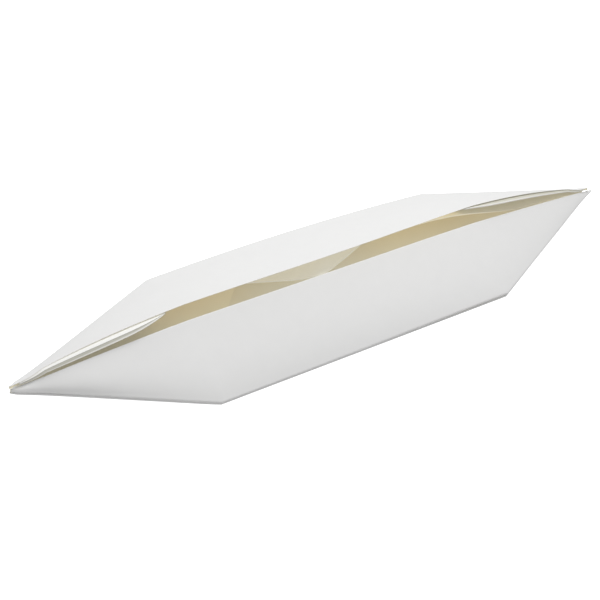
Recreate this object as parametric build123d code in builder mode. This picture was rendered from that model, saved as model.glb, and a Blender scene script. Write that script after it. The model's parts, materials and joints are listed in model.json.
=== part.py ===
from build123d import *
import os

# Folded-paper hull: one square sheet whose creases divide it into flat panels.
# Millimetres. +X runs to the bow, +Y to port, +Z up. The origin is the centre of
# the floor's underside, which is the face that the hull rests on.

# --- the sheet -------------------------------------------------------------
sheet_side = 210.0                    # square cut from an A4 sheet
paper = 0.10                          # thickness of 80 g/m2 paper
layer_gap = 0.01                      # air between two layers pressed together
pitch = paper + layer_gap

# --- the folded outline ----------------------------------------------------
half_length = sheet_side / 2          # centre to the point of the bow or stern
half_fold = half_length / 2           # half of each long side fold
tan_point = 0.41421356                # tan 22.5 degrees, half the angle of a point
half_width = tan_point * half_fold    # centreline to a long side fold
point_run = half_length - half_fold   # bend line to the tip
flap_end = 0.2928932 * half_length    # where a flap's folded edge leaves the centreline
fold_end = 0.0857864 * half_length    # where a flap ends on the long side fold
tuck_tip_x = fold_end                 # overlap of the two flap tips at mid length
tuck_tip_y = 0.0355339 * half_length

# --- clearances ------------------------------------------------------------
crease_gap = 0.05                     # bend line to the edge of the end panel
nest = 0.30                           # inner layers sit this far inside an outer fold
centre_gap = 0.15                     # inner panels stop this far short of the centreline
tip_inset = 2 * nest                  # and this far short of a tip
cuff_inset = 2 * nest                 # a cuff sits inside its pocket's fold
stack_slack = 0.05                    # air above the tuck, and above the flaps and corners

# --- how far the hull stands open ------------------------------------------
# Sides are +1 for port and -1 for starboard. Angles are degrees above the floor.
wall_angle = {1: 28.0, -1: 24.0}
wall_bend = {1: 5.9, -1: 5.1}         # wall ends bend down towards the tips
flap_angle = {1: 12.2, -1: 10.2}      # end flaps, between floor and wall
tuck_angle = {1: 10.6, -1: 8.6}       # side tucks, under the flaps
floor_rise = 3.5                      # floor ends bend up towards the tips

# --- heights of the creases in the stack along a long side -----------------
tuck_height = pitch                   # first layer above the floor
tuck_layers = 6
flap_height = tuck_height + tuck_layers * pitch + stack_slack
flap_layers = 4
corner_layers = 2
wall_height = flap_height + (flap_layers + corner_layers) * pitch + stack_slack

side_names = {1: "port", -1: "starboard"}
end_names = {1: "bow", -1: "stern"}


def fold_plane(side, height, angle, x=0.0, bend=0.0):
    """Plane of a panel that turns about a long side fold; its normal faces out."""
    level = Plane(origin=(x, side * half_width, height), x_dir=(1, 0, 0), z_dir=(0, 0, 1))
    return level.rotated((-side * angle, bend, 0))


def panel(label, plane, corners):
    """One flat panel of the sheet, extruded by the paper's thickness and written out."""
    with BuildPart() as sheet_panel:
        with BuildSketch(plane):
            with BuildLine():
                Polyline(*corners, close=True)
            make_face()
        extrude(amount=paper)
    sheet_panel.part.label = label
    export_step(sheet_panel.part, f"parts/{label}.step")


def from_plan(side, end, points):
    """Folded-plan points (towards the tip, out from the centreline) on a fold plane."""
    return [(end * along, -side * (half_width - out)) for along, out in points]


def build_floor():
    """The floor: a rectangle between the bend lines, and a rising triangle at each end."""
    panel("floor_middle", Plane.XY, [
        (-half_fold, -half_width),
        (half_fold, -half_width),
        (half_fold, half_width),
        (-half_fold, half_width),
    ])
    for end, end_name in end_names.items():
        bend_line = Plane(origin=(end * half_fold, 0, paper), x_dir=(1, 0, 0), z_dir=(0, 0, 1))
        rising = bend_line.rotated((0, -end * floor_rise, 0)).offset(-paper)
        panel(f"floor_{end_name}", rising, [
            (end * crease_gap, -half_width + crease_gap),
            (end * crease_gap, half_width - crease_gap),
            (end * point_run, 0),
        ])


def build_wall(side):
    """One side wall: the raw edge of the sheet runs along its rim from tip to tip."""
    name = side_names[side]
    inward = -side
    panel(f"wall_{name}_middle", fold_plane(side, wall_height, wall_angle[side]), [
        (-half_fold, 0),
        (half_fold, 0),
        (half_fold, inward * half_width),
        (-half_fold, inward * half_width),
    ])
    for end, end_name in end_names.items():
        bend = end * wall_bend[side]
        lowered = fold_plane(side, wall_height, wall_angle[side], end * half_fold, bend)
        panel(f"wall_{name}_{end_name}", lowered, [
            (end * crease_gap, inward * crease_gap),
            (end * point_run, inward * half_width),
            (end * crease_gap, inward * half_width),
        ])
        # The corner of the sheet, folded in under the wall end: two layers that
        # share the crease along the bend line.
        corner = [
            (end * crease_gap, inward * nest),
            (end * (point_run - tip_inset), inward * (half_width - centre_gap)),
            (end * crease_gap, inward * (half_width - centre_gap)),
        ]
        panel(f"corner_{name}_{end_name}_upper", lowered.offset(-pitch), corner)
        panel(f"corner_{name}_{end_name}_lower", lowered.offset(-2 * pitch), corner)


def build_end_flaps(side, end):
    """Four layers folded in along the point: they lie between the floor and the wall."""
    name = f"{side_names[side]}_{end_names[end]}"
    plane = fold_plane(side, flap_height, flap_angle[side])
    tip = (half_length - tip_inset, centre_gap)
    pocket = from_plan(side, end, [
        tip,
        (flap_end, centre_gap),
        (fold_end, half_width - nest),
        (half_fold, half_width - nest),
    ])
    cuff = from_plan(side, end, [
        tip,
        (flap_end, centre_gap),
        (half_fold - nest, half_width - cuff_inset),
    ])
    panel(f"pocket_{name}_lower", plane, pocket)
    panel(f"pocket_{name}_upper", plane.offset(pitch), pocket)
    panel(f"cuff_{name}_lower", plane.offset(2 * pitch), cuff)
    panel(f"cuff_{name}_upper", plane.offset(3 * pitch), cuff)


def build_tuck(side):
    """The side tuck: a triangle folded inwards between the floor and the wall."""
    name = side_names[side]
    plane = fold_plane(side, tuck_height, tuck_angle[side])
    triangle = from_plan(side, 1, [
        (-half_fold + nest, half_width - nest),
        (half_fold - nest, half_width - nest),
        (0, centre_gap),
    ])
    panel(f"tuck_{name}_lower", plane, triangle)
    panel(f"tuck_{name}_upper", plane.offset(pitch), triangle)
    # The tips of the end flaps, folded in on top of the tuck. Those of the stern lie
    # under those of the bow, because the two pairs cross at mid length.
    layer = 2
    for end in (-1, 1):
        flap_tip = from_plan(side, end, [
            (half_fold - nest, half_width - nest),
            (fold_end, half_width - nest),
            (-tuck_tip_x, tuck_tip_y),
            (0, centre_gap),
        ])
        for half in ("lower", "upper"):
            label = f"tuck_flap_{name}_{end_names[end]}_{half}"
            panel(label, plane.offset(layer * pitch), flap_tip)
            layer += 1


os.makedirs("parts", exist_ok=True)
build_floor()
for side in side_names:
    build_wall(side)
    build_tuck(side)
    for end in end_names:
        build_end_flaps(side, end)
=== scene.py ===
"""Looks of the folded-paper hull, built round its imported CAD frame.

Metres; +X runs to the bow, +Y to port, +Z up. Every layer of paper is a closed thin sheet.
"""
import json
import math

import bpy
import numpy as np
from mathutils import Matrix, Vector


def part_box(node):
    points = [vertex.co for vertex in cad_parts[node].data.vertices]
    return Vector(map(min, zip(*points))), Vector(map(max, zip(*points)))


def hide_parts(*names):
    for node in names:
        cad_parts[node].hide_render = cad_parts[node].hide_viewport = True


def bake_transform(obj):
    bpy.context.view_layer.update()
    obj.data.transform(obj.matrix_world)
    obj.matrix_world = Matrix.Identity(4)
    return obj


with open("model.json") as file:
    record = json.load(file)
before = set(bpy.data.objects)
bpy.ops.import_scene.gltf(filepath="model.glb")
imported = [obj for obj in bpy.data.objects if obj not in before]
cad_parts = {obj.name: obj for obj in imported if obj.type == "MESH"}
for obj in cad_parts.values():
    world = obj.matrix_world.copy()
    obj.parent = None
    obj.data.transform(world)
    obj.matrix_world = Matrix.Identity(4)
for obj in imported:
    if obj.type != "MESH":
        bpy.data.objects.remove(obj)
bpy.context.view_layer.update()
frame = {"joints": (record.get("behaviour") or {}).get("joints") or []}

mm = 0.001

# --- measures that come from the frame ---------------------------------------
floor_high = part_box("floor_middle")[1]
half_fold = floor_high.x                   # half of a long side fold
half_width = floor_high.y                  # centreline to a long side fold
half_length = 2 * half_fold                # centre to a tip
paper = floor_high.z                       # thickness of the sheet
hinges = {joint["name"]: Vector(joint["pos_m"]) for joint in frame["joints"]}
crease_height = hinges["port_wall_fold"].z - 0.8 * paper   # mid-surface of a wall at its fold
point_run = half_length - half_fold

# --- how this hull stands ----------------------------------------------------
side_sign = {"port": 1, "starboard": -1}
end_sign = {"bow": 1, "stern": -1}

rim_height = {"port": 14.67 * mm, "starboard": 10.46 * mm}      # rim at mid length
rim_fall = {"port": 3.0, "starboard": 3.2}                      # how late it falls to the tips
rim_tilt = {"port": 1.27 * mm, "starboard": -0.16 * mm}         # bow half over the stern half
extra_width = {"port": 0.3 * mm, "starboard": 1.5 * mm}         # uneven hand folding
fold_bow = {"port": 2.16 * mm, "starboard": 0.0}                # lift of the long fold at mid length
arch_falloff = 1.6                         # how that lift dies out across the floor
rim_end = {                                # rim at the tips
    ("port", "bow"): 9.6 * mm,
    ("port", "stern"): 7.9 * mm,
    ("starboard", "bow"): 7.2 * mm,
    ("starboard", "stern"): 6.8 * mm,
}
crease_end = {                             # upper fold at the tips
    ("port", "bow"): 8.3 * mm,
    ("port", "stern"): 7.0 * mm,
    ("starboard", "bow"): 6.6 * mm,
    ("starboard", "stern"): 5.5 * mm,
}
floor_end = {"bow": 5.2 * mm, "stern": 3.7 * mm}                # floor at the tips
bulge = {"port": 0.2 * mm, "starboard": 0.7 * mm}               # the walls roll over towards the fold
end_bulge = {                              # and as much at the wall ends
    ("port", "bow"): 0.2 * mm,
    ("port", "stern"): 0.2 * mm,
    ("starboard", "bow"): 0.2 * mm,
    ("starboard", "stern"): 0.8 * mm,
}
bulge_run = 9 * mm                         # narrower walls than this bulge less
end_bulge_from = 0.3                       # share of half a fold where the change to it starts
past_rim = 1.3                             # layers under a wall see it carried on to this width
fold_gap = {"port": 0.0, "starboard": 0.9 * mm}                 # the upper fold stands off the floor
gap_start = -0.6 * half_fold               # from here towards the bow
gap_run = 1.4 * half_fold

hem_radius = 0.33 * mm                     # round of the pressed folds
hem_lip = 0.2 * mm
least_inside = 0.1                         # least share of a width that a hem leaves
widest_roll = 0.55 * mm                    # most radius of an upper fold
roll_share = 0.6                           # and its most share of a narrow wall's width,
tip_roll = 0.4 * mm                        # but always allowed this much
nose_radius = {"bow": 0.8 * mm, "stern": 1.9 * mm}              # the tips are round
nose_width = 1.3 * mm                      # and several layers thick
nose_fade = 6 * mm
tip_cut = 0.04 * mm                        # the meshes stop this far short of a sharp tip
tip_reach = {                              # a tip beyond the folded length
    ("port", "bow"): -0.8 * mm,
    ("port", "stern"): -0.2 * mm,
    ("starboard", "bow"): 1.6 * mm,
    ("starboard", "stern"): -0.7 * mm,
    ("floor", "bow"): 0.0,
    ("floor", "stern"): -0.7 * mm,
}
side_out = {"port": 0.3 * mm, "starboard": 0.7 * mm}            # each long fold lies a little out
fold_short = {"port": 1.4 * mm, "starboard": 0.0, "floor": 0.7 * mm}    # at each end of a long fold
nest = 0.9 * mm                            # inner layers sit this far inside a fold
edge_slack = 0.3 * mm                      # floor's edge past its own outline, to meet a wall's

floor_ease = 6 * mm                        # the floor eases into its rise over this length
tip_steepness = 0.3                        # most rise of a wall as a share of its width: at a tip,
steepness_run = 9 * mm                     # growing with the width over this,
most_steepness = 0.72                      # up to this
steepness_power = 8                        # how sharply the limit sets in


# --- surfaces ----------------------------------------------------------------
def smoothstep(t):
    return t * t * (3 - 2 * t)


def by_end(along, measure, side):
    """A measure given for each side and end, at places along the hull."""
    return np.where(along > 0, measure[side, "bow"], measure[side, "stern"])


def inside_hem(width):
    """What a hem's round leaves of a width."""
    return np.maximum(width - hem_radius, least_inside * width)


def point_share(along, side="floor"):
    """0 on the long side fold, rising to 1 at the tip."""
    tip = half_length + by_end(along, tip_reach, side)
    start = half_fold - fold_short[side]
    return np.clip((np.abs(along) - start) / (tip - start), 0, 1)


def taper(along, side="floor"):
    """Width of the plan as a share of its width amidships: 1 along the folds, round at a tip."""
    left = (1 - point_share(along, side)) * point_run
    radius = np.where(along > 0, nose_radius["bow"], nose_radius["stern"])
    nose = np.sqrt(1 - (1 - np.clip(left / radius, 0, 1)) ** 2)
    return np.minimum(1, (left + nose_width * np.exp(-left / nose_fade)) / point_run) * nose


def long_arch(along):
    """1 at mid length, falling to 0 at the ends of the long folds."""
    return np.clip(1 - (along / half_fold) ** 2, 0, None)


def floor_surface(along, across):
    """Height of the floor's mid-surface: flat, with the port fold lifted, and rising to the tips."""
    share = point_share(along)
    end_height = np.where(along > 0, floor_end["bow"], floor_end["stern"])
    soft = floor_ease / point_run
    rise = np.where(share < soft, share * share / (2 * soft), share - soft / 2) / (1 - soft / 2)
    towards_port = np.clip((across + half_width) / (2 * half_width), 0, 1)
    lift = fold_bow["port"] * long_arch(along) * towards_port ** arch_falloff
    return paper / 2 + end_height * rise + lift


def wall_crease(side, along):
    """Points on the upper fold: the long side fold, then the point fold up to the tip."""
    share = point_share(along, side)
    end_height = by_end(along, crease_end, side)
    height = crease_height + (end_height - crease_height) * share
    height = height + fold_bow[side] * long_arch(along)
    bow_part = np.clip((along - gap_start) / gap_run, 0, 1)
    height = height + fold_gap[side] * smoothstep(bow_part) * (1 - share)
    inset = inside_hem((half_width + side_out[side]) * taper(along, side))
    return np.stack([along, side_sign[side] * inset, height], -1)


def fold_roll(side, along):
    """Radius of the upper fold's round: it fills the edge between the floor's fold and the wall."""
    low = floor_surface(along, side_sign[side] * half_width)
    spare = wall_crease(side, along)[:, 2] - low - 2 * hem_radius
    return np.clip(spare / 2, hem_radius, widest_roll)


def wall_rim(side, along):
    """Points on the raw edge. The wall keeps its width, so the edge comes in as it rises."""
    sign = side_sign[side]
    crease = wall_crease(side, along)
    t = np.minimum(np.abs(along) / half_length, 1)
    end_height = by_end(along, rim_end, side)
    height = end_height + (rim_height[side] - end_height) * (1 - t ** rim_fall[side])
    height = height + rim_tilt[side] * along / half_length * (1 - t * t)
    width = inside_hem((half_width + side_out[side] + extra_width[side]) * taper(along, side))
    rise = np.maximum(height - crease[:, 2], 1e-6)
    steepest = width * np.clip(tip_steepness + width / steepness_run, 0, most_steepness)
    rise = (rise ** -steepness_power + steepest ** -steepness_power) ** (-1 / steepness_power)
    run = np.sqrt(width ** 2 - rise ** 2)
    return np.stack([along, sign * (np.abs(crease[:, 1]) - run), crease[:, 2] + rise], -1)


def unit(v):
    return v / np.linalg.norm(v, axis=-1, keepdims=True)


def wall_height(side, along, across):
    """Height of a wall's mid-surface over a point of the plan, carried on past its rim."""
    crease, rim = wall_crease(side, along), wall_rim(side, along)
    v = (across - crease[:, 1]) / (rim[:, 1] - crease[:, 1])
    return crease[:, 2] + (rim[:, 2] - crease[:, 2]) * np.clip(v, 0, past_rim)


# --- meshes ------------------------------------------------------------------
def sheet_object(name, grid, inner_side=0, paint_rim_highlight=True):
    """A closed thin sheet from a grid of mid-surface points; the first index runs along it.
    inner_side is +1 or -1 where the upper or the lower face is the inner face of the sheet."""
    normal = np.cross(np.gradient(grid, axis=0), np.gradient(grid, axis=1))
    normal /= np.maximum(np.linalg.norm(normal, axis=-1, keepdims=True), 1e-15)
    rows, columns = grid.shape[:2]
    count = rows * columns
    points = np.concatenate([(grid + normal * paper / 2).reshape(-1, 3),
                             (grid - normal * paper / 2).reshape(-1, 3)])
    faces = []
    for i in range(rows - 1):
        for j in range(columns - 1):
            a = i * columns + j
            b, c, d = a + columns, a + columns + 1, a + 1
            faces.append((a, b, c, d))
            faces.append((a + count, d + count, c + count, b + count))
    border = [(i, 0) for i in range(rows)] + [(rows - 1, j) for j in range(1, columns)]
    border += [(i, columns - 1) for i in range(rows - 2, -1, -1)]
    border += [(0, j) for j in range(columns - 2, 0, -1)]
    loop = [i * columns + j for i, j in border]
    for a, b in zip(loop, loop[1:] + loop[:1]):
        faces.append((b, a, a + count, b + count))
    mesh = bpy.data.meshes.new(name)
    mesh.from_pydata([tuple(p) for p in points], [], faces)
    mesh.update()
    # Mask for the painted highlight along the cut edge.
    edge = np.zeros((rows, columns), np.float32)
    edge[:, -1] = paint_rim_highlight
    attribute = mesh.attributes.new("raw_edge_painted_highlight", "FLOAT", "POINT")
    attribute.data.foreach_set("value", np.concatenate([edge.ravel(), edge.ravel()]))
    rim = {frozenset(pair) for pair in zip(loop, loop[1:] + loop[:1])}
    rim |= {frozenset(a + count for a in pair) for pair in rim}
    upper_sign = 1 if np.median(normal[:, columns // 2:, 2]) > 0 else -1
    panel_faces = 2 * (rows - 1) * (columns - 1)
    for polygon in mesh.polygons:
        polygon.use_smooth = True
        is_upper = (polygon.index % 2 == 0) == (upper_sign == 1)
        if inner_side and polygon.index < panel_faces and is_upper == (inner_side == 1):
            polygon.material_index = 1
    for line in mesh.edges:
        line.use_edge_sharp = frozenset(line.vertices) in rim
    piece = bpy.data.objects.new(name, mesh)
    bpy.context.scene.collection.objects.link(piece)
    return piece


def stations(end, reach):
    """Places along a half hull, closer together at the bend line and at the tip."""
    bend_zone, tip_zone = 12 * mm, 6 * mm
    middle = np.linspace(0, half_fold - bend_zone, 15)[:-1]
    bend = np.linspace(half_fold - bend_zone, half_fold + bend_zone, 25)[:-1]
    rest = np.linspace(half_fold + bend_zone, half_length - tip_zone, 18)[:-1]
    tip = np.linspace(half_length - tip_zone, half_length + reach - tip_cut, 10)
    return end_sign[end] * np.concatenate([middle, bend, rest, tip])


def hem(crease, normal, outward, radius, turn):
    """Rows of a pressed fold, from its inner lip round to the panel. turn is -1 for a wall and
    +1 for the floor."""
    rows = []
    radius = radius[:, None]
    centre = crease + turn * normal * radius
    for lip in (hem_lip, hem_lip / 2):
        rows.append(centre + turn * normal * radius - outward * lip * radius / hem_radius)
    for angle in np.radians(np.arange(180, -1, -22.5)):
        upright, sideways = math.cos(angle), math.sin(angle)
        rows.append(centre - turn * normal * radius * upright + outward * radius * sideways)
    return rows


def bend_with(piece):
    """Bake the piece's transform into its mesh."""
    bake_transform(piece)


def wall_half(side, end):
    """One half of a side wall, hemmed along its fold and cut along its rim."""
    along = stations(end, tip_reach[side, end])
    sign = side_sign[side]
    crease, rim = wall_crease(side, along), wall_rim(side, along)
    tangent = unit(np.gradient(crease, axis=0)) * end_sign[end]
    across = unit(rim - crease)
    normal = unit(np.cross(tangent, across))
    normal *= np.sign(normal[:, 2:3])
    outward = unit(np.cross(normal, tangent))
    outward *= np.sign(outward[:, 1:2]) * sign
    width = np.linalg.norm(rim - crease, axis=1)
    radius = np.minimum(fold_roll(side, along), np.maximum(roll_share * width, tip_roll))
    rows = hem(crease, normal, outward, radius, -1)
    end_share = np.clip(np.abs(along) / half_fold - end_bulge_from, 0, 1)
    swell = bulge[side] + (end_bulge[side, end] - bulge[side]) * end_share
    swell = (swell * np.clip(width / bulge_run, 0, 1))[:, None]
    for v in np.append(np.linspace(0, 0.95, 20)[1:], [0.985, 1]):
        profile = 27 / 4 * v * (1 - v) ** 2          # 1 at its highest, a third of the way in
        rows.append(crease + (rim - crease) * v + normal * swell * profile)
    piece = sheet_object(f"paper_wall_{side}_{end}", np.stack(rows, 1), inner_side=-1)
    bend_with(piece)
    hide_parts(f"wall_{side}_middle", f"wall_{side}_{end}")
    return piece


def floor_half(end):
    """One half of the floor, hemmed along both edges, which follow the walls' folds."""
    along = stations(end, tip_reach["floor", end])
    reach = {}
    edges = {}
    for side, sign in side_sign.items():
        width = half_width + side_out[side]
        edge = width * taper(along, side) * (point_share(along) < 1)
        edge = inside_hem(np.minimum(edge, width * taper(along) + edge_slack))
        reach[sign] = edge
        radius = np.minimum(hem_radius, edge)
        crease = np.stack([along, sign * edge, floor_surface(along, sign * edge)], -1)
        tangent = unit(np.gradient(crease, axis=0))
        outward = unit(np.stack([-tangent[:, 1], tangent[:, 0], np.zeros(len(along))], -1))
        outward *= np.sign(outward[:, 1:2]) * sign
        up = np.tile([0.0, 0.0, 1.0], (len(along), 1))
        edges[sign] = hem(crease, up, outward, radius, 1)
    rows = edges[-1]
    for v in np.linspace(0, 1, 25)[1:-1]:
        across = (1 - v) * -reach[-1] + v * reach[1]
        rows.append(np.stack([along, across, floor_surface(along, across)], -1))
    rows += edges[1][::-1]
    piece = sheet_object(f"paper_floor_{end}", np.stack(rows, 1), inner_side=1, paint_rim_highlight=False)
    bend_with(piece)
    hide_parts("floor_middle", f"floor_{end}")
    return piece


# --- inner layers ------------------------------------------------------------
def quad(corners, rows, columns):
    """Grid of plan points that fills a four-cornered outline."""
    a, b, c, d = (np.array(p, float) for p in corners)
    u = np.linspace(0, 1, rows)[:, None, None]
    v = np.linspace(0, 1, columns)[None, :, None]
    return (a * (1 - u) + b * u) * (1 - v) + (d * (1 - u) + c * u) * v


layer_step = 0.11 * mm
stack_layers = 12                          # tuck 6, flaps 4, sheet corners 2
lowest_layer = 0.6                         # steps from the floor to the first layer's mid-surface
most_lift = 0.6                            # share of its width that a layer can rise
slip_from = 0.35                           # a layer slips fully this far in, as a share of the width


def plan_to_hull(side, end, plan, share_of, layer, slip=0.0):
    """Plan points (towards the tip, in from the long fold) between the floor and the wall.
    layer counts up from the floor, share_of says how far the layer is lifted towards the wall,
    and slip moves its inner parts along the hull."""
    inward = plan[..., 1].ravel()
    along = (end_sign[end] * plan[..., 0]).ravel()
    away_from_fold = np.clip(inward / (slip_from * half_width), 0, 1)
    along = along + slip * away_from_fold * np.clip(2 - np.abs(along) / half_fold, 0, 1)
    fold = half_width * (1 - point_share(along, side))
    from_fold = np.maximum(inward - (half_width - fold), 0)
    stack = stack_layers * layer_step

    def height_at(across):
        low = floor_surface(along, across) + paper / 2
        high = wall_height(side, along, across) - paper / 2
        squeeze = np.minimum(1, (high - low) / stack)
        free = np.maximum(high - low - stack, 0)
        return low + (layer + lowest_layer) * layer_step * squeeze + free * share_of(along, across)

    # The layer keeps its width, so its inner edge comes out as it is lifted.
    run = from_fold
    for _ in range(3):
        lift = height_at(side_sign[side] * (fold - run)) - height_at(side_sign[side] * fold)
        lift = np.clip(lift, 0, most_lift * from_fold)
        run = np.sqrt(np.maximum(from_fold ** 2 - lift ** 2, 0))
    across = side_sign[side] * (fold - run)
    return np.stack([along, across, height_at(across)], -1).reshape(plan.shape[:2] + (3,))


def smooth_share(weight):
    """The place t where smoothstep(t) is weight."""
    return 0.5 - math.sin(math.asin(1 - 2 * weight) / 3)


def lift_between(first, second, first_share, second_share):
    """A lift that goes from one share of the wall's turn at first to another at second, as the
    start and end of a blend from the floor to the wall, and as a function of the place."""
    t1, t2 = smooth_share(first_share), smooth_share(second_share)
    if abs(t2 - t1) < 1e-4:
        t2 = t1 + 1e-4
    step = (Vector(second) - Vector(first)) / (t2 - t1)
    start = Vector(first) - step * t1

    def share_of(along, across):
        t = ((along - start.x) * step.x + (across - start.y) * step.y) / step.length_squared
        return smoothstep(np.clip(t, 0, 1))

    return start, start + step, share_of


flap_corner = 0.2928932 * half_length      # where a flap's folded edge leaves the centreline
flap_fold_end = 0.0857864 * half_length    # where a flap ends on the long side fold

# Share of the way from floor to wall: places along the hull and the shares there.
flap_lift = {
    ("port", "bow"): (34 * mm, 0.97, 70 * mm, 0.50),
    ("port", "stern"): (14 * mm, 0.45, 30 * mm, 0.01),
    ("starboard", "bow"): (30 * mm, 0.44, 105 * mm, 0.50),
    ("starboard", "stern"): (30 * mm, 0.44, 105 * mm, 0.50),
}
# Springy layers stay up at least this much, and slip this far along the hull.
flap_spring = {("port", "bow"): 0.45}
flap_slip = {("port", "stern"): -8 * mm}
flap_level = 6                             # the flaps lie over the six layers of the tuck
flap_tip_gap = 2.5 * mm
flap_centre_gap = 0.3 * mm
cuff_setback = (3 * mm, 2 * mm)            # a cuff's folded edge inside its pocket's


def flap_layers(side, end):
    """The four layers of an end flap: a pocket, and the cuff that is folded over it."""
    first, first_share, second, second_share = flap_lift[side, end]
    sign = end_sign[end]
    start, finish, turn = lift_between((sign * first, 0, 0), (sign * second, 0, 0),
                                       first_share, second_share)
    spring = flap_spring.get((side, end), 0)
    slip = flap_slip.get((side, end), 0)

    def share_of(along, across):
        return np.maximum(turn(along, across), spring)

    tip = half_length - flap_tip_gap
    centre = half_width - flap_centre_gap
    back, down = cuff_setback
    pocket = [(half_fold, nest), (flap_fold_end, nest), (flap_corner, centre), (tip, centre)]
    cuff = [(half_fold, 2 * nest), (flap_corner + back, centre - down), (flap_corner, centre),
            (tip, centre)]
    layers = [("pocket", "lower", pocket), ("pocket", "upper", pocket), ("cuff", "lower", cuff),
              ("cuff", "upper", cuff)]
    pieces = []
    for index, (kind, level, corners) in enumerate(layers):
        plan = quad(corners, 30, 22)
        grid = plan_to_hull(side, end, plan, share_of, flap_level + index, slip)
        piece = sheet_object(f"paper_{kind}_{side}_{end}_{level}", grid, paint_rim_highlight=False)
        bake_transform(piece)
        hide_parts(f"{kind}_{side}_{end}_{level}")
        pieces.append(piece)
    return pieces


# Share of the way from floor to wall, at a tuck's base and at its tip.
tuck_lift = {"port": (0.48, 0.52), "starboard": (0.30, 0.36)}
tuck_slip = {"port": -5 * mm, "starboard": 0.0}
tuck_centre_gap = 0.2 * mm
tuck_blunt = 0.3 * mm                      # half of the tuck's cut-off tip
tuck_tip_in = 0.0355339 * half_length      # where the flap tips end, out from the centreline
# Angle of each crease from the hull's length, the side that falls away, and how steeply.
tuck_creases = {
    "port": ((math.radians(46), 1, 0.24), (math.radians(70), -1, 0.20)),
    "starboard": ((math.radians(60), 1, 0.05),),
}
crease_reach = 7 * mm                      # paper farther from a crease falls no more
crease_fade = (0.55, 0.3)                  # creases die out here, in shares of the width


def crease_tuck(grid, side):
    """Two soft creases run from the tip of the tuck towards its base."""
    tip = grid.reshape(-1, 3)[np.argmin(np.abs(grid.reshape(-1, 3)[:, 1]))]
    x = grid[..., 0] - tip[0]
    y = side_sign[side] * (grid[..., 1] - tip[1])
    creased = grid.copy()
    fade_from, fade_run = (share * half_width for share in crease_fade)
    faded = np.clip((np.abs(tip[1] - grid[..., 1]) - fade_from) / fade_run, 0, 1)
    for angle, hand, fall in tuck_creases[side]:
        beyond = hand * (x * math.sin(angle) - y * math.cos(angle))
        creased[..., 2] -= fall * np.clip(beyond, 0, crease_reach) * (1 - faded)
    return creased


def tuck_layers(side):
    """The tuck's two layers, and the tips of the end flaps that are folded in on top of it."""
    base_share, tip_share = tuck_lift[side]
    base = (0, side_sign[side] * half_width, 0)
    start, finish, share_of = lift_between(base, (0, 0, 0), base_share, tip_share)
    slip = tuck_slip[side]
    centre = half_width - tuck_centre_gap
    triangle = [(-half_fold + 2 * nest, nest), (half_fold - 2 * nest, nest), (tuck_blunt, centre),
                (-tuck_blunt, centre)]
    layer = 0
    grids = []
    for level in ("lower", "upper"):
        grid = plan_to_hull(side, "bow", quad(triangle, 24, 20), share_of, layer, slip)
        grids.append((f"tuck_{side}_{level}", grid))
        layer += 1
    tip_outline = [(half_fold - 2 * nest, nest), (flap_fold_end, nest),
                   (-flap_fold_end, half_width - tuck_tip_in), (0, centre)]
    for end in ("stern", "bow"):
        for level in ("lower", "upper"):
            grid = plan_to_hull(side, end, quad(tip_outline, 24, 16), share_of, layer, slip)
            grids.append((f"tuck_flap_{side}_{end}_{level}", grid))
            layer += 1
    pieces = []
    for name, grid in grids:
        piece = sheet_object(f"paper_{name}", crease_tuck(grid, side), paint_rim_highlight=False)
        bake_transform(piece)
        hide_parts(name)
        pieces.append(piece)
    return pieces


# The sheet's corners, folded in under the wall ends: where the fold lies along the hull, and the
# share of the slit that the layer covers at first and at the tip.
corner_shape = {
    ("port", "stern", "upper"): (58.5 * mm, 0.46, 0.50),
    ("port", "stern", "lower"): (58.2 * mm, 0.80, 0.97),
    ("port", "bow", "upper"): (49.3 * mm, 0.53, 0.40),
    ("port", "bow", "lower"): (49.0 * mm, 0.55, 0.42),
    ("starboard", "stern", "upper"): (55.8 * mm, 0.04, 0.0),
    ("starboard", "stern", "lower"): (55.0 * mm, 0.0, 0.0),
    ("starboard", "bow", "upper"): (52.7 * mm, 0.0, 0.0),
    ("starboard", "bow", "lower"): (52.7 * mm, 0.0, 0.0),
}
# Both layers of a corner curl down alike: how far at the fold, and farther out.
corner_curl = {
    ("port", "stern"): (0.35 * mm, 1.7 * mm),
    ("port", "bow"): (0.25 * mm, 1.2 * mm),
    ("starboard", "stern"): (0.1 * mm, 0.1 * mm),
    ("starboard", "bow"): (0.1 * mm, 0.2 * mm),
}
curl_from = 0.84                           # share of the wall's width where the curl starts
corner_opening = {"port": 0.28, "starboard": 0.04}    # share of the length to come out into the slit
corner_tip_gap = 3 * mm
corner_inset = 0.06                        # gap to the long fold, as a share of the wall's width
corner_step = 1.3 * paper                  # from the wall to a corner layer, and to the next
curl_lean = 0.2                            # a layer leans in by this share of its drop


def corner_reach(side, end, level, along):
    """How far a layer of a corner comes out from the long fold, as a share of the wall's width."""
    fold_along, first_cover, last_cover = corner_shape[side, end, level]
    t = np.clip((np.abs(along) - fold_along) / (half_length - fold_along), 0, 1)
    open_out = np.clip(t / corner_opening[side], 0, 1)
    slit = np.abs(wall_rim("port", along)[:, 1] - wall_rim("starboard", along)[:, 1])
    width = np.linalg.norm(wall_rim(side, along) - wall_crease(side, along), axis=1)
    cover = first_cover + (last_cover - first_cover) * t
    return 1 + cover * slit * open_out * (2 - open_out) / width


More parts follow.
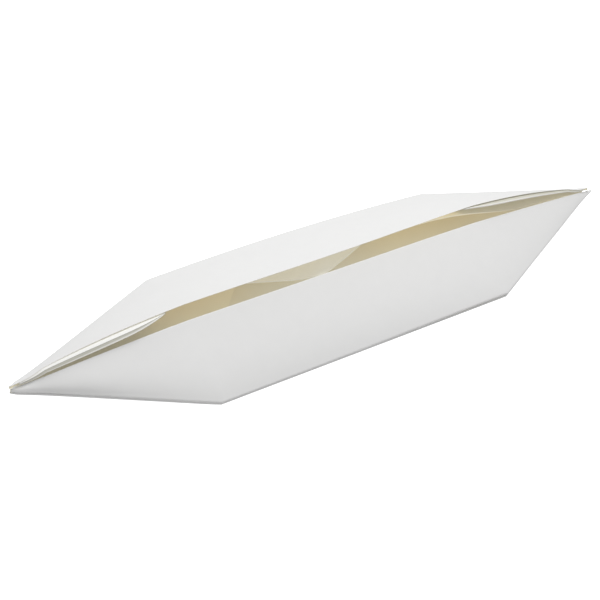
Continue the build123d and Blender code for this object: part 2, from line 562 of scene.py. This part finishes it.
def corner_layer(side, end, level):
    """One layer of a sheet corner, folded in under a wall end."""
    at_fold, farther = corner_curl[side, end]
    fold_along = corner_shape[side, end, level][0]
    steps_down = 1 if level == "upper" else 2
    along = end_sign[end] * np.linspace(fold_along, half_length - corner_tip_gap, 44)
    crease, rim = wall_crease(side, along), wall_rim(side, along)
    t = (np.abs(along) - fold_along) / (half_length - fold_along)
    droop = at_fold * (1 - t) + 4 * farther * t * (1 - t)
    reach = corner_reach(side, end, level, along)
    longest = np.maximum(corner_reach(side, end, "lower", along), reach)
    rows = []
    for v in np.linspace(corner_inset, 1, 24):
        point = crease + (rim - crease) * (v * reach)[:, None]
        curl = np.clip((v * reach - curl_from) / (longest - curl_from), 0, 1)
        drop = droop * curl ** 2 + corner_step * steps_down
        inward = -side_sign[side] * curl_lean * drop
        rows.append(point + np.stack([np.zeros(len(along)), inward, -drop], -1))
    piece = sheet_object(f"paper_corner_{side}_{end}_{level}", np.stack(rows, 1))
    bend_with(piece)
    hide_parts(f"corner_{side}_{end}_{level}")
    return piece


# --- materials ---------------------------------------------------------------
warm_light = (1.0, 0.93, 0.75)
# Painted shade: between these places across the hull the inner papers darken towards port, standing
# in for the shade under the port wall.
painted_shade_from, painted_shade_to = 1 * mm, 14 * mm       # across the hull
# Painted highlight: the cut edges are painted paler than the sheet, standing in for light caught by
# the paper's thickness at the rim.
rim_highlight_colour = (0.93, 0.93, 0.92)
rim_highlight_strength = 0.7


def mix_colours(tree, factor, first, second):
    """A mix node of a linked colour with a linked or a plain one; returns its colour output."""
    mix = tree.nodes.new("ShaderNodeMix")
    mix.data_type = "RGBA"
    factor_in, first_in, second_in = mix.inputs[0], mix.inputs[6], mix.inputs[7]
    tree.links.new(factor, factor_in)
    tree.links.new(first, first_in)
    second_in.default_value = (*second, 1)
    return mix.outputs[2]


def paper_material(name, colour, shade, seed, painted_glow, painted_shade=None, light=(1.0, 0.97, 0.87)):
    """Smooth uncoated paper: cloudy formation, fine tooth, and a painted highlight on the cut edge.
    The emission is painted light that stands in for the light that comes through the sheet. Towards
    port, where the hull is deepest under the wall, the colour darkens to a painted shade."""
    material = bpy.data.materials.new(name)
    material.use_nodes = True
    tree = material.node_tree
    tree.nodes.clear()
    output = tree.nodes.new("ShaderNodeOutputMaterial")
    shader = tree.nodes.new("ShaderNodeBsdfPrincipled")
    tree.links.new(shader.outputs["BSDF"], output.inputs["Surface"])
    shader.inputs["Roughness"].default_value = 0.85
    shader.inputs["Specular IOR Level"].default_value = 0.25
    # Painted light: a steady emission on the sheet stands in for light let through the paper.
    shader.inputs["Emission Color"].default_value = (*light, 1)
    shader.inputs["Emission Strength"].default_value = painted_glow
    coordinates = tree.nodes.new("ShaderNodeTexCoord")
    shift = tree.nodes.new("ShaderNodeMapping")
    shift.inputs["Location"].default_value = (seed, seed * 0.7, seed * 0.3)
    tree.links.new(coordinates.outputs["Object"], shift.inputs["Vector"])
    clouds = tree.nodes.new("ShaderNodeTexNoise")
    clouds.inputs["Scale"].default_value = 260
    clouds.inputs["Detail"].default_value = 5
    clouds.inputs["Roughness"].default_value = 0.6
    tree.links.new(shift.outputs["Vector"], clouds.inputs["Vector"])
    ramp = tree.nodes.new("ShaderNodeValToRGB")
    ramp.color_ramp.elements[0].position = 0.3
    ramp.color_ramp.elements[1].position = 0.7
    ramp.color_ramp.elements[0].color = (*[c * shade for c in colour], 1)
    ramp.color_ramp.elements[1].color = (*colour, 1)
    tree.links.new(clouds.outputs["Fac"], ramp.inputs["Fac"])
    body_colour = ramp.outputs["Color"]
    # Painted shade: the colour darkens towards port, where the wall shades the hull.
    if painted_shade:
        axes = tree.nodes.new("ShaderNodeSeparateXYZ")
        tree.links.new(coordinates.outputs["Object"], axes.inputs["Vector"])
        painted_shade_ramp = tree.nodes.new("ShaderNodeMapRange")
        painted_shade_ramp.interpolation_type = "SMOOTHSTEP"
        painted_shade_ramp.inputs["From Min"].default_value = painted_shade_from
        painted_shade_ramp.inputs["From Max"].default_value = painted_shade_to
        tree.links.new(axes.outputs["Y"], painted_shade_ramp.inputs["Value"])
        body_colour = mix_colours(tree, painted_shade_ramp.outputs["Result"], body_colour, painted_shade)
    # Painted highlight: the cut edge is painted paler.
    edge = tree.nodes.new("ShaderNodeAttribute")
    edge.attribute_name = "raw_edge_painted_highlight"
    strength = tree.nodes.new("ShaderNodeMath")
    strength.operation = "MULTIPLY"
    strength.inputs[1].default_value = rim_highlight_strength
    tree.links.new(edge.outputs["Fac"], strength.inputs[0])
    rim_highlighted_colour = mix_colours(tree, strength.outputs["Value"], body_colour, rim_highlight_colour)
    tree.links.new(rim_highlighted_colour, shader.inputs["Base Color"])
    tooth = tree.nodes.new("ShaderNodeTexNoise")
    tooth.inputs["Scale"].default_value = 2600
    tooth.inputs["Detail"].default_value = 3
    tree.links.new(shift.outputs["Vector"], tooth.inputs["Vector"])
    bump = tree.nodes.new("ShaderNodeBump")
    bump.inputs["Strength"].default_value = 0.25
    bump.inputs["Distance"].default_value = 0.012 * mm
    tree.links.new(tooth.outputs["Fac"], bump.inputs["Height"])
    tree.links.new(bump.outputs["Normal"], shader.inputs["Normal"])
    return material


outside = paper_material("outside_paper", (0.80, 0.80, 0.795), shade=0.985, seed=1.3, painted_glow=0.0)
# Painted light and shade: the inner faces' cream colour stands in for warm light bounced round inside
# the hull, their emission for light let through the sheet, and their darkening towards port for the
# shade under the wall.
inside = paper_material("inside_paper_painted_light_and_shade", (0.94, 0.91, 0.78), shade=0.975, seed=4.1, painted_glow=0.10,
                        painted_shade=(0.86, 0.78, 0.60), light=warm_light)
# Painted light: the tuck's emission stands in for light let through the sheet.
tuck_paper_painted_glow = paper_material("tuck_paper_painted_glow", (0.93, 0.93, 0.89), shade=0.975, seed=7.7, painted_glow=0.13,
                            light=(1.0, 0.99, 0.93))
# Painted light and shade: the floor's inner face is painted cream for warm bounced light, given an
# emission for light through the sheet, and darkened towards port for the shade under the wall.
floor_paper = paper_material("floor_inner_paper_painted_light_and_shade", (0.94, 0.92, 0.84), shade=0.975, seed=5.2,
                             painted_glow=0.07, painted_shade=(0.84, 0.76, 0.57))
# Painted light and shade: the flaps are painted warm cream and given an emission for light let
# through the thin paper, and darkened towards port for shade.
flap_paper_painted_light_and_shade = paper_material("flap_paper_painted_light_and_shade", (0.95, 0.90, 0.74), shade=0.975, seed=6.4, painted_glow=0.15,
                            painted_shade=(0.92, 0.86, 0.68), light=warm_light)
# Painted light: paler than the outer paper and given a faint emission, so the corner strips stay
# bright in the crevice shade under the wall.
corner_paper_painted_light = paper_material("corner_paper_painted_light", (0.86, 0.86, 0.84), shade=0.98, seed=2.9, painted_glow=0.04)
# Painted shade: the same white paper painted darker grey-cream where it lies in shade at the port
# bow.
corner_bow_painted_shade = paper_material("corner_bow_paper_painted_shade", (0.60, 0.59, 0.52), shade=0.98, seed=2.9, painted_glow=0.02)
# Painted shade: the lower corner layers are the same white paper painted darker where they droop into
# shade.
corner_shade = paper_material("corner_painted_shade_paper", (0.47, 0.465, 0.41), shade=0.98, seed=2.9,
                              painted_glow=0.02)


def finish_with(pieces, materials):
    """The first material is the sheet's outer face, a second one its inner face."""
    for piece in pieces:
        for material in materials:
            piece.data.materials.append(material)


# --- the hull ----------------------------------------------------------------
outer_pieces = []
inner_pieces = []
corner_pieces = []
shaded_corners = []
bow_corners = []
flap_pieces = []
tuck_pieces = []
floor_pieces = [floor_half(end) for end in end_sign]
for side in side_sign:
    for end in end_sign:
        outer_pieces.append(wall_half(side, end))
        if end == "bow":
            flap_pieces += flap_layers(side, end)
        else:
            inner_pieces += flap_layers(side, end)
        for level in ("upper", "lower"):
            layer = corner_layer(side, end, level)
            if (side, end) == ("port", "bow"):
                bow_corners.append(layer)
            elif level == "lower":
                shaded_corners.append(layer)
            else:
                corner_pieces.append(layer)
    tuck_pieces += tuck_layers(side)
finish_with(outer_pieces, (outside, inside))
finish_with(inner_pieces, (inside,))
finish_with(flap_pieces, (flap_paper_painted_light_and_shade,))
finish_with(floor_pieces, (outside, floor_paper))
finish_with(corner_pieces, (corner_paper_painted_light,))
finish_with(bow_corners, (corner_bow_painted_shade,))
finish_with(shaded_corners, (corner_shade,))
finish_with(tuck_pieces, (tuck_paper_painted_glow,))


# --- floor, light and camera -------------------------------------------------
def build_stage():
    """A white table that looks plain white to the camera and still lights the hull from below."""
    size = 3.0
    corners = [(-size, -size, 0), (size, -size, 0), (size, size, 0), (-size, size, 0)]
    mesh = bpy.data.meshes.new("studio_floor")
    mesh.from_pydata(corners, [], [(0, 1, 2, 3)])
    floor = bpy.data.objects.new("studio_floor", mesh)
    bpy.context.scene.collection.objects.link(floor)
    material = bpy.data.materials.new("studio_floor")
    material.use_nodes = True
    tree = material.node_tree
    shader = tree.nodes["Principled BSDF"]
    shader.inputs["Base Color"].default_value = (0.85, 0.85, 0.85, 1)
    shader.inputs["Roughness"].default_value = 1.0
    shader.inputs["Specular IOR Level"].default_value = 0.0
    shader.inputs["Emission Color"].default_value = (1, 1, 1, 1)
    rays = tree.nodes.new("ShaderNodeLightPath")
    tree.links.new(rays.outputs["Is Camera Ray"], shader.inputs["Emission Strength"])
    mesh.materials.append(material)
    floor.location.z = -0.02 * mm


def build_light():
    """Soft light all round, and one broad lamp over the port side."""
    world = bpy.data.worlds.new("studio")
    world.use_nodes = True
    background = world.node_tree.nodes["Background"]
    background.inputs["Color"].default_value = (1, 1, 1, 1)
    background.inputs["Strength"].default_value = 0.47
    bpy.context.scene.world = world
    key = bpy.data.lights.new("key", "AREA")
    key.shape = "DISK"
    key.size = 0.34
    key.energy = 1.72
    lamp = bpy.data.objects.new("key", key)
    lamp.location = (0.05, 0.16, 0.487)
    aim = Vector((0, 0, 0)) - Vector(lamp.location)
    lamp.rotation_euler = aim.to_track_quat("-Z", "Y").to_euler()
    bpy.context.scene.collection.objects.link(lamp)


def build_camera():
    """From the photograph's angle, fitted to the outline of the hull."""
    place = Vector((-231.60, -174.56, 303.26)) * mm
    forward = Vector((0.53304, 0.42263, -0.73298)).normalized()
    upward = Vector((0.27625, 0.73190, 0.62290))
    right = forward.cross(upward).normalized()
    upward = right.cross(forward)
    camera = bpy.data.cameras.new("camera")
    camera.sensor_width = 36
    camera.lens = 85.755
    camera.clip_start = 0.01
    camera.clip_end = 20
    holder = bpy.data.objects.new("camera", camera)
    rotation = Matrix((right, upward, -forward)).transposed().to_4x4()
    holder.matrix_world = Matrix.Translation(place) @ rotation
    bpy.context.scene.collection.objects.link(holder)
    bpy.context.scene.camera = holder


build_stage()
build_light()
build_camera()
bpy.context.scene.view_settings.view_transform = "Standard"
